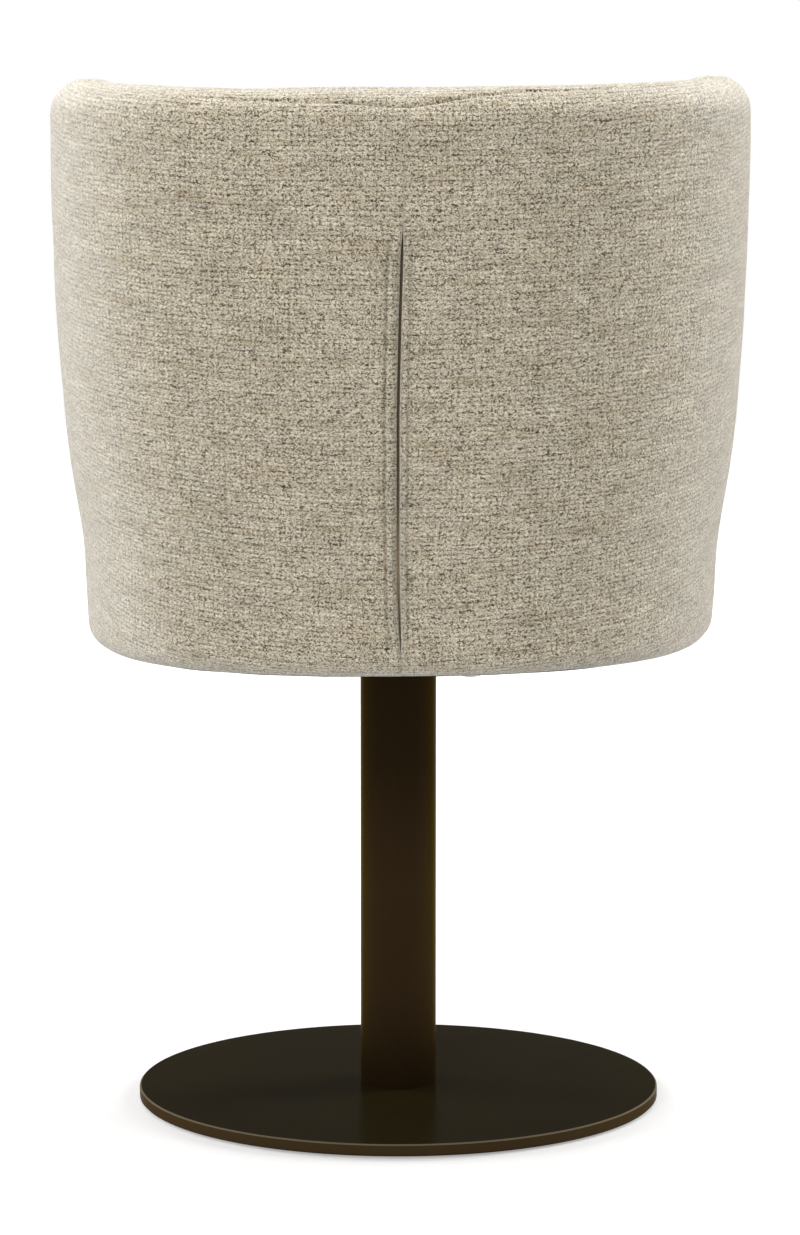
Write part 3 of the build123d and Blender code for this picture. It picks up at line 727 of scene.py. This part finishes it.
def wovenGrid(columns, rows, pointAt):
    # The same with a weave: pointAt gives a column and row their place and their spot in the cloth
    bm = bmesh.new()
    layer = bm.loops.layers.uv.new("weave")
    bmesh.ops.create_grid(bm, x_segments=columns, y_segments=rows, size=0.5)
    spots = {}
    for vert in bm.verts:
        column, row = round((vert.co.x + 0.5) * columns), round((vert.co.y + 0.5) * rows)
        vert.co, spots[vert.index] = pointAt(column, row)
    for face in bm.faces:
        for loop in face.loops:
            loop[layer].uv = spots[loop.vert.index]
    return bm


def dress(piece, finish, body="seat"):
    piece.data.materials.append(finishes[finish])
    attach(piece, body)


# Outer cover, in two halves

cover = {
    "columns": 170, "rows": 146, "lipColumns": 10, "flankColumns": 4, "thickness": 0.0022,
    "footRows": 2, "hemRows": 10, "crownRows": 44, "rowPower": 1.12, "columnSpread": 0.12,
    "slitLow": 0.409, "slitHigh": 0.750, "slitHalf": 0.0011, "lowFade": 0.045, "highFade": 0.028,
    "lipDepth": 0.0060, "lipRound": 0.0034,
    "seamGap": -0.0002, "seamDepth": 0.003, "seamRound": 0.0012,
    "ridgeFall": 0.0016, "closedRidge": 0.7, "grooveOut": 0.0008, "grooveWidth": 0.0013,
    "creaseDepth": 0.0024, "creaseWidth": 0.0012, "creasePower": 1.5,
    "creaseRoll": 0.0008, "rollOut": 0.006, "rollWidth": 0.0055, "rollFrom": 0.001,
    "frontTurn": 0.0018, "frontReach": 0.004,
    "lumps": 0.0009, "fineLumps": 0.0005, "pucker": 0.0007, "puckerReach": 0.022, "lipCalm": 0.4,
    "rimFade": 0.01, "hemFade": 0.02,
    "waist": 0.0044, "waistHeight": 0.482, "waistWidth": 0.052, "waistFade": 0.06,
    "weaveApart": 0.37, "weaveBow": 0.15, "weaveHemBow": 0.30,
}
coverSides = {
    # the two halves aren't sewn quite alike: the folded lip beside the slit and the rim's crease
    1: {"ridge": 0.0030, "ridgeWidth": 0.0084, "groove": 0.0044, "creaseLow": 0.022,
        "creaseDip": 0.008, "dipReach": 0.070, "creaseReach": 0.20},
    -1: {"ridge": 0.0018, "ridgeWidth": 0.0062, "groove": 0.0024, "creaseLow": 0.014,
         "creaseDip": 0.016, "dipReach": 0.058, "creaseReach": 0.26},
}
lean = {"aside": 0.0018, "reach": 0.10, "high": 0.0435, "highFrom": 0.60, "highPower": 1.3,
        "low": 0.0020, "lowFrom": 0.50, "lowOver": 0.08}
sit = {"aside": 0.0018, "wingDrop": 0.0024, "wingFrom": 0.04, "wingOver": 0.08,
       "dropFrom": 0.60, "dropOver": 0.22}
hang = {"tilt": 0.0085, "rear": 0.0019, "rearReach": 0.13, "rearOver": 0.12,
        "fadeAt": 0.10, "fadeOver": 0.08}


def slitShare(z):
    # 1 in the open slit, falling to 0 where it closes into the seam
    low = clip((z - cover["slitLow"]) / cover["lowFade"])
    high = clip((cover["slitHigh"] - z) / cover["highFade"])
    return math.sin(math.pi / 2 * low) * math.sin(math.pi / 2 * high)


def seamBow(z):
    # The seam leans a little to one side at the top and the slit at its foot
    high = lean["high"] * max(0, z - lean["highFrom"]) ** lean["highPower"]
    low = lean["low"] * (max(0, lean["lowFrom"] - z) / lean["lowOver"]) ** 2
    return lean["aside"] - high - low


def settle(spot):
    # The shell sits a little off the column's axis and one wing is lower than the other
    wing = clip((spot.x - sit["wingFrom"]) / sit["wingOver"])
    drop = sit["wingDrop"] * wing * clip((spot.z - sit["dropFrom"]) / sit["dropOver"])
    return spot - Vector((sit["aside"], 0, drop))


def hemTilt(spot):
    # The hem hangs a little lower on one side and at the middle of the rear
    rear = hang["rear"] * bell(spot.x, hang["rearReach"]) * clip(spot.y / hang["rearOver"])
    fade = clip((shell["hem"] + hang["fadeAt"] - spot.z) / hang["fadeOver"])
    return spot - Vector((0, 0, (hang["tilt"] * spot.x + rear) * fade))


def profileSpot(angle, row):
    # Spot on the cover's path from under the hem to the top of the rim: radius, height, outward
    # direction, distance from the hem's edge and turn round the rim's roll
    high, half = crownBase(angle)
    low = shell["hem"] + shell["hemRound"]
    footRows, hemRows, crownRows = cover["footRows"], cover["hemRows"], cover["crownRows"]
    foot = shellRadius(angle, low) - shell["hemRound"]
    reach = shell["hemReach"]
    if row < footRows:
        share = row / footRows
        return foot - reach * (1 - share), shell["hem"], 0.0, -1.0, reach * share, 0
    if row < footRows + hemRows:
        turn = math.pi / 2 * (row - footRows) / hemRows
        radius = foot + shell["hemRound"] * math.sin(turn)
        height = low - shell["hemRound"] * math.cos(turn)
        walked = reach + shell["hemRound"] * turn
        return radius, height, math.sin(turn), -math.cos(turn), walked, 0
    wallRows = cover["rows"] - crownRows - hemRows - footRows
    walked = reach + math.pi / 2 * shell["hemRound"]
    if row <= footRows + hemRows + wallRows:
        share = 1 - (1 - (row - footRows - hemRows) / wallRows) ** cover["rowPower"]
        z, step = between(low, high, share), 0.002
        tilt = math.atan((shellRadius(angle, z + step) - shellRadius(angle, z - step)) / (2 * step))
        return shellRadius(angle, z), z, math.cos(tilt), -math.sin(tilt), walked + (z - low), 0
    turn = rollTurn * (row - footRows - hemRows - wallRows) / crownRows
    radius = shellRadius(angle, high) - half + half * math.cos(turn)
    height = high + (rimHeight(angle) - high) * math.sin(turn)
    return radius, height, math.cos(turn), math.sin(turn), walked + (high - low) + half * turn, turn


def columnSpot(column, z, half):
    # Distance from the rear centre and depth below the surface of one column of the cover, and
    # whether it lies on the folded lip
    share = slitShare(z)
    gap = between(cover["seamGap"], cover["slitHalf"], share)
    roundness = between(cover["seamRound"], cover["lipRound"], share)
    depth = between(cover["seamDepth"], cover["lipDepth"], share)
    flank, lip = cover["flankColumns"], cover["lipColumns"]
    if column < flank:
        return gap, between(depth, roundness, column / flank), True
    if column <= lip:
        turn = math.pi / 2 * (column - flank) / (lip - flank)
        return gap + roundness * (1 - math.cos(turn)), roundness * (1 - math.sin(turn)), True
    q = (column - lip) / (cover["columns"] - lip)
    spread = cover["columnSpread"] * q + (1 - cover["columnSpread"]) * q * q
    distance = gap + roundness + (halfRound - gap - roundness) * spread
    edge = distance - gap - half["ridgeWidth"] * between(cover["closedRidge"], 1, share)
    raised = half["ridge"] * share * clip(0.5 - edge / cover["ridgeFall"])
    groove = half["groove"] * share * bell(edge - cover["grooveOut"], cover["grooveWidth"])
    return distance, groove - raised, False


def creaseDepth(crown, distance, half):
    # Fold under the roll at the rim, deepest at the centre
    reach = clip(1 - distance / half["creaseReach"])
    dip = math.exp(-((max(0, distance) / half["dipReach"]) ** cover["creasePower"]))
    above = crown + half["creaseLow"] + half["creaseDip"] * dip
    fold = cover["creaseDepth"] * reach * bell(above, cover["creaseWidth"])
    roll = cover["creaseRoll"] * reach**0.5 * bell(above - cover["rollOut"], cover["rollWidth"])
    return fold - roll * clip(above / cover["rollFrom"])


def coverPoint(column, row, side):
    half = coverSides[side]
    guess = angleAt(halfRound * (max(0, column - cover["lipColumns"]) / cover["columns"]) ** 2)
    distance, depth, onLip = columnSpot(column, profileSpot(guess, row)[1], half)
    angle = angleAt(distance)
    radius, z, outward, upward, walked, turn = profileSpot(angle, row)
    crown = walked - profileSpot(angle, cover["rows"])[4]
    depth += creaseDepth(crown, distance, half)
    # the cover turns in where it is sewn along the rim and down the front
    depth += shell["rimTurnIn"] * clip(1 + crown / shell["rimTurnReach"]) ** 2
    depth += cover["frontTurn"] * clip(1 - (halfRound - distance) / cover["frontReach"]) ** 2
    x = side * distance
    lumps = cover["lumps"] * noise.noise(Vector((x * 9, walked * 7, side * 3.1)))
    lumps += cover["fineLumps"] * noise.noise(Vector((x * 26, walked * 22, side * 5)))
    pucker = cover["pucker"] * noise.noise(Vector((side * 4, walked * 90, distance * 25)))
    lumps += pucker * bell(distance, cover["puckerReach"])
    calm = (cover["lipCalm"] if onLip else 1.0) * clip(-crown / cover["rimFade"])
    depth -= lumps * calm * clip((walked - shell["hemReach"]) / cover["hemFade"])
    # a slight waist above the hem
    waist = cover["waist"] * bell(z - cover["waistHeight"], cover["waistWidth"])
    depth += waist * clip(-crown / cover["waistFade"])
    point = place(radius - depth * outward, angle, z - depth * upward, side)
    point.x += seamBow(z) * bell(distance, lean["reach"])
    point = hemTilt(settle(point))
    wide = shellRadius(angle, max(z, shell["hem"] + shell["hemRound"]))
    along = distance * wide / shellRadius(angle, measureHeight) - (depth if onLip else 0)
    bow = (cover["weaveBow"] + cover["weaveHemBow"] * (1 - flare(z))) * along**2
    around, up = 0.0, 0.0
    if turn:
        around, up = crownWeave(angle, turn)
        walked -= crownBase(angle)[1] * turn
    return point, (side * (along + around + cover["weaveApart"]), walked + up - bow)


def makeCover(name, side, node, *hidden):
    bm = wovenGrid(cover["columns"], cover["rows"],
                   lambda column, row: coverPoint(column, row, side))
    if side > 0:
        bmesh.ops.reverse_faces(bm, faces=bm.faces)
    shadeSmooth(bm)
    piece = meshObject(name, bm)
    thicken(piece, cover["thickness"])
    dress(piece, "chenille")
    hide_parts(node, *hidden)


makeCover("outerCoverRight", 1, "outer_cover_right", "outer_padding_right")
makeCover("outerCoverLeft", -1, "outer_cover_left", "outer_padding_left")
print("outer cover made")


# Inner cover

lining = {
    "columns": 240, "rows": 84, "crownRows": 20, "thickness": 0.0022, "footGap": 0.0006,
    "seamAngle": 62, "seamDepth": 0.0022, "seamWidth": 0.0032,
    "swell": 0.0016, "swellOut": 0.011, "swellWidth": 0.008,
    "lumps": 0.0016, "fineLumps": 0.0006, "rimFade": 0.01, "weaveBow": 0.13,
}


def liningPoint(column, row):
    turnAngle = 360 * column / lining["columns"] - 180
    angle, side = abs(turnAngle), (1 if turnAngle >= 0 else -1)
    high, half = crownBase(angle)
    crownRows = lining["crownRows"]
    if row <= crownRows:
        turn = rollTurn * (1 - row / crownRows)
        radius = shellRadius(angle, high) - half - half * math.cos(turn)
        z = high + (rimHeight(angle) - high) * math.sin(turn)
        inward, upward, walked = math.cos(turn), math.sin(turn), half * (math.pi / 2 - turn)
        around, up = crownWeave(angle, turn)
    else:
        share = (row - crownRows) / (lining["rows"] - crownRows)
        z = between(high, boardTop + lining["footGap"], share)
        radius = shellRadius(angle, z) - wallThickness(z)
        inward, upward, walked = 1.0, 0.0, half * math.pi / 2 + high - z
        around, up = 0.0, z - high
    arc = math.radians(angle) * shellRadius(angle, measureHeight)
    fromSeam = math.radians(abs(angle - lining["seamAngle"])) * radius
    depth = lining["seamDepth"] * bell(fromSeam, lining["seamWidth"])
    depth -= lining["swell"] * bell(fromSeam - lining["swellOut"], lining["swellWidth"])
    depth += shell["rimTurnIn"] * clip(1 - walked / shell["rimTurnReach"]) ** 2
    lumps = lining["lumps"] * noise.noise(Vector((side * arc * 8, walked * 8, 2.7)))
    lumps += lining["fineLumps"] * noise.noise(Vector((side * arc * 28, walked * 25, 6.1)))
    depth -= lumps * clip(walked / lining["rimFade"])
    point = settle(place(radius + depth * inward, angle, z - depth * upward, side))
    return point, (side * (arc + around), high + up - lining["weaveBow"] * arc**2)


def makeLining():
    bm = wovenGrid(lining["columns"], lining["rows"], liningPoint)
    bmesh.ops.remove_doubles(bm, verts=bm.verts, dist=weldDistance)
    bm.normal_update()
    level = Vector((1, 1, 0))
    if sum(face.normal.dot(face.calc_center_median() * level) for face in bm.faces) > 0:
        bmesh.ops.reverse_faces(bm, faces=bm.faces)  # the cloth faces the sitter
    shadeSmooth(bm)
    piece = meshObject("innerCover", bm)
    thicken(piece, lining["thickness"])
    dress(piece, "chenille")
    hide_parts("inner_cover", "back_foam", "arm_foam_right", "arm_foam_left", "front_foam")


makeLining()
print("inner cover made")


# Seat cushion

cushion = {
    "gap": 0.0026, "rise": 0.076, "crown": 0.013, "foot": 0.0004, "shrink": 0.007, "segments": 120,
    "edgeRound": 0.012, "voxel": 0.005, "pressure": 4, "quality": 5, "frames": 20, "cap": 0.010,
    "relax": 8, "inside": 0.0006, "sideBand": 0.03, "flatFrom": 0.62, "weaveRadius": 0.24,
    "seamRise": 0.060, "drawIn": 0.0022, "drawWidth": 0.007, "lumps": 0.0012, "lumpFade": 0.02,
    "pipe": 0.0036, "pipeOut": 0.1, "pipeFlat": 0.95, "pipeWander": 0.0012, "pipeSteps": 220,
    "pipeSides": 12, "seamBand": 0.004,
}
cushionSeam = boardTop + cushion["seamRise"]


def cushionRadius(angle, z):
    return shellRadius(angle, z) - wallThickness(z) - cushion["gap"]


def makeCushion():
    # A block of the cushion's outline is inflated as cloth, then fitted and drawn in at its seam
    low, top = boardTop + cushion["foot"], boardTop + cushion["rise"]
    shoulder = top - cushion["crown"] - cushion["shrink"] * 0.5
    bm = bmesh.new()
    bmesh.ops.create_circle(bm, cap_ends=True, segments=cushion["segments"], radius=1)

    def outline(verts, z):
        for vert in verts:
            angle = math.degrees(math.atan2(vert.co.x, vert.co.y))
            vert.co = place(cushionRadius(abs(angle), z) - cushion["shrink"], angle, z)

    outline(bm.verts, low)
    made = bmesh.ops.extrude_face_region(bm, geom=bm.faces[:])
    outline([item for item in made["geom"] if isinstance(item, bmesh.types.BMVert)], shoulder)
    bmesh.ops.recalc_face_normals(bm, faces=bm.faces)
    rims = [edge for edge in bm.edges if abs(edge.verts[0].co.z - edge.verts[1].co.z) < 1e-6]
    bmesh.ops.bevel(bm, geom=rims, offset=cushion["edgeRound"], affect="EDGES", segments=4,
                    profile=0.5, material=-1)
    piece = meshObject("seatCushion", bm)
    bpy.context.view_layer.objects.active = piece
    piece.select_set(True)
    piece.data.remesh_voxel_size = cushion["voxel"]
    bpy.ops.object.voxel_remesh()
    before = [vert.co.copy() for vert in piece.data.vertices]
    inflate(piece)
    for vert, rest in zip(piece.data.vertices, before):
        move = vert.co - rest
        if move.length > cushion["cap"]:
            vert.co = rest + move * (cushion["cap"] / move.length)
    finishCushion(piece, low)


def inflate(piece):
    cloth = piece.modifiers.new("inflate", "CLOTH")
    cloth.settings.use_pressure = True
    cloth.settings.uniform_pressure_force = cushion["pressure"]
    cloth.settings.effector_weights.gravity = 0
    cloth.settings.quality = cushion["quality"]
    cloth.point_cache.frame_start, cloth.point_cache.frame_end = 1, cushion["frames"]
    for step in range(1, cushion["frames"] + 1):
        scene.frame_set(step)
    bpy.ops.object.modifier_apply(modifier=cloth.name)
    scene.frame_set(1)


def reachTable(bm, low, high, steps=90):
    # Furthest radius of the cushion in each direction, between two heights, smoothed
    reach = [0.0] * steps
    for vert in bm.verts:
        if low <= vert.co.z <= high:
            turn = math.atan2(vert.co.x, vert.co.y) / (2 * math.pi)
            slot = int((turn + 0.5) * steps) % steps
            reach[slot] = max(reach[slot], math.hypot(vert.co.x, vert.co.y))
    for _ in range(3):
        reach = [(reach[i - 1] + 2 * reach[i] + reach[(i + 1) % steps]) / 4 for i in range(steps)]
    return reach


def reachAt(reach, angle):
    spot = (angle / 360 + 0.5) * len(reach) - 0.5
    low = math.floor(spot)
    return between(reach[low % len(reach)], reach[(low + 1) % len(reach)], spot - low)


def fitCushion(bm, low):
    # The swollen form is stretched to the height and the outline that the cushion has
    bottom, top = min(vert.co.z for vert in bm.verts), max(vert.co.z for vert in bm.verts)
    reach = reachTable(bm, bottom, top)
    stretch = (boardTop + cushion["rise"] - low) / (top - bottom)
    for vert in bm.verts:
        angle = math.degrees(math.atan2(vert.co.x, vert.co.y))
        z = low + (vert.co.z - bottom) * stretch
        limit = cushionRadius(abs(angle), z) - cushion["inside"]
        radius = math.hypot(vert.co.x, vert.co.y) * limit / reachAt(reach, angle)
        # drawn in above and below the seam, so that the seam's cord stands out
        toSeam = abs(z - cushionSeam) if radius > limit - cushion["sideBand"] else 1
        radius -= cushion["drawIn"] * bell(toSeam, cushion["drawWidth"])
        lumps = cushion["lumps"] * noise.noise(Vector((vert.co.x * 11, vert.co.y * 11, 4.2)))
        z += lumps * clip((z - low) / cushion["lumpFade"])
        vert.co = place(radius, angle, z)


def weaveCushion(bm):
    # The cloth lies flat on the top and the foot and runs round the side
    layer = bm.loops.layers.uv.new("weave")
    for face in bm.faces:
        face.smooth = True
        flat = abs(face.normal.z) > cushion["flatFrom"]
        centre = face.calc_center_median()
        middle = math.atan2(centre.x, centre.y)
        for loop in face.loops:
            spot = loop.vert.co
            if flat:
                loop[layer].uv = (spot.x, spot.y)
                continue
            turn = math.atan2(spot.x, spot.y)
            if abs(turn - middle) > math.pi:
                turn += math.copysign(2 * math.pi, middle)
            loop[layer].uv = (turn * cushion["weaveRadius"], spot.z)


def finishCushion(piece, low):
    bm = bmesh.new()
    bm.from_mesh(piece.data)
    for _ in range(cushion["relax"]):
        bmesh.ops.smooth_vert(bm, verts=bm.verts, factor=0.5, use_axis_x=True, use_axis_y=True,
                              use_axis_z=True)
    fitCushion(bm, low)
    band = cushion["seamBand"]
    cushion["edgeReach"] = reachTable(bm, cushionSeam - band, cushionSeam + band)
    bm.normal_update()
    weaveCushion(bm)
    bm.to_mesh(piece.data)
    bm.free()
    smooth = piece.modifiers.new("smooth", "SUBSURF")
    smooth.levels = smooth.render_levels = 1
    dress(piece, "chenille")
    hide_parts("seat_cover", "seat_foam")
    piece.select_set(False)


def makePiping():
    # Covered cord round the cushion's top seam
    around, sides, pipe = cushion["pipeSteps"], cushion["pipeSides"], cushion["pipe"]

    def pipePoint(step, side):
        angle, turn = 360 * step / around - 180, 2 * math.pi * side / sides
        middle = reachAt(cushion["edgeReach"], angle) + pipe * cushion["pipeOut"]
        spot = Vector((math.sin(math.radians(angle)), math.cos(math.radians(angle)), 8))
        height = cushionSeam + cushion["pipeWander"] * noise.noise(spot)
        radius = middle + pipe * math.cos(turn) * cushion["pipeFlat"]
        point = place(radius, angle, height + pipe * math.sin(turn))
        return point, (math.radians(angle) * cushion["weaveRadius"], pipe * turn)

    bm = wovenGrid(around, sides, pipePoint)
    closeSkin(bm)
    dress(meshObject("cushionPiping", bm), "chenille")


makeCushion()
makePiping()
print("cushion made")


# Lining behind the slit

slitCloth = {"columns": 24, "rows": 60, "spread": 30, "below": 0.01, "above": 0.02, "depth": 0.0082,
             "thickness": 0.0009}


def makeSlitLining():
    # Dark cloth that follows the panel
    low, high = cover["slitLow"] - slitCloth["below"], cover["slitHigh"] + slitCloth["above"]

    def slitPoint(across, up):
        angle, z = slitCloth["spread"] * (across - 0.5), between(low, high, up)
        return settle(place(shellRadius(abs(angle), z) - slitCloth["depth"], angle, z))

    bm = bentGrid(slitCloth["columns"], slitCloth["rows"], slitPoint)
    bmesh.ops.recalc_face_normals(bm, faces=bm.faces)
    shadeSmooth(bm)
    piece = meshObject("slitLining", bm)
    thicken(piece, slitCloth["thickness"])
    dress(piece, "darkLining")
    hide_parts("panel_liner")


makeSlitLining()
print("slit lining made")


# Dust cover and its staples

dust = {"around": 120, "across": 14, "opening": 0.118, "edge": 0.003, "sag": 0.0016,
        "ripple": 0.0007, "below": 0.0004, "thickness": 0.0006}
staple = {"count": 44, "crown": 0.011, "wire": 0.0007, "flat": 1.4, "round": 0.25, "inset": 0.005,
          "below": 0.0011, "lean": 14}


def dustRadius(angle):
    foot = shellRadius(angle, shell["hem"] + shell["hemRound"]) - shell["hemRound"]
    return foot - dust["edge"]


def dustPoint(around, share):
    angle = 360 * around - 180
    radius = between(dust["opening"], dustRadius(abs(angle)), share)
    ripple = dust["ripple"] * noise.noise(Vector((angle / 9, share * 3, 1.5))) * share
    sag = dust["sag"] * math.sin(math.pi * share)
    return hemTilt(settle(place(radius, angle, shell["hem"] - dust["below"] - sag - abs(ripple))))


def makeDustCover():
    bm = bentGrid(dust["around"], dust["across"], dustPoint)
    closeSkin(bm)
    area = sum(face.calc_area() for face in bm.faces)
    piece = meshObject("dustCover", bm)
    thicken(piece, dust["thickness"], 0)
    dress(piece, "dustCloth")
    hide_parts("dust_cover")


def makeStaples():
    bm = bmesh.new()
    wire = staple["wire"]
    for i in range(staple["count"]):
        angle = 360 * (i + 0.5) / staple["count"] - 180
        radius = dustRadius(abs(angle)) - staple["inset"]
        tilt = staple["lean"] * noise.noise(Vector((i * 1.7, 0.3, 0)))
        made = bmesh.ops.create_cube(bm, size=1)
        for vert in made["verts"]:
            vert.co *= Vector((staple["crown"], wire * staple["flat"], wire))
        edges = {edge for vert in made["verts"] for edge in vert.link_edges}
        bevelled = bmesh.ops.bevel(bm, geom=list(edges), offset=wire * staple["round"],
                                   affect="EDGES", segments=1, profile=0.5, material=-1)
        turn = math.radians(-angle + tilt)
        cosTurn, sinTurn = math.cos(turn), math.sin(turn)
        at = hemTilt(settle(place(radius, angle, shell["hem"] - staple["below"])))
        for vert in {vert for face in bevelled["faces"] for vert in face.verts}:
            x, y, z = vert.co
            vert.co = at + Vector((x * cosTurn - y * sinTurn, x * sinTurn + y * cosTurn, z))
    dress(meshObject("staples", bm), "zincSteel")


makeDustCover()
makeStaples()
print("underside made")


# Weld under the flange

weld = {"around": 96, "sides": 6, "bead": 0.0022, "sunk": 0.0004, "ripple": 0.10, "ripples": 48}


def weldPoint(around, share):
    angle, turn = 360 * around, math.pi / 2 * share
    bead = weld["bead"] * (1 + weld["ripple"] * math.sin(math.radians(angle) * weld["ripples"]))
    radius = columnRadius - weld["sunk"] + bead * math.cos(turn)
    return place(radius, angle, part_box("column_flange")[0].z - bead * math.sin(turn))


def makeWeld():
    # Rippled bead round the column where the flange is welded to it
    bm = bentGrid(weld["around"], weld["sides"], weldPoint)
    closeSkin(bm)
    dress(meshObject("flangeWeld", bm), "blackSteel", "base")


makeWeld()
print("weld made")
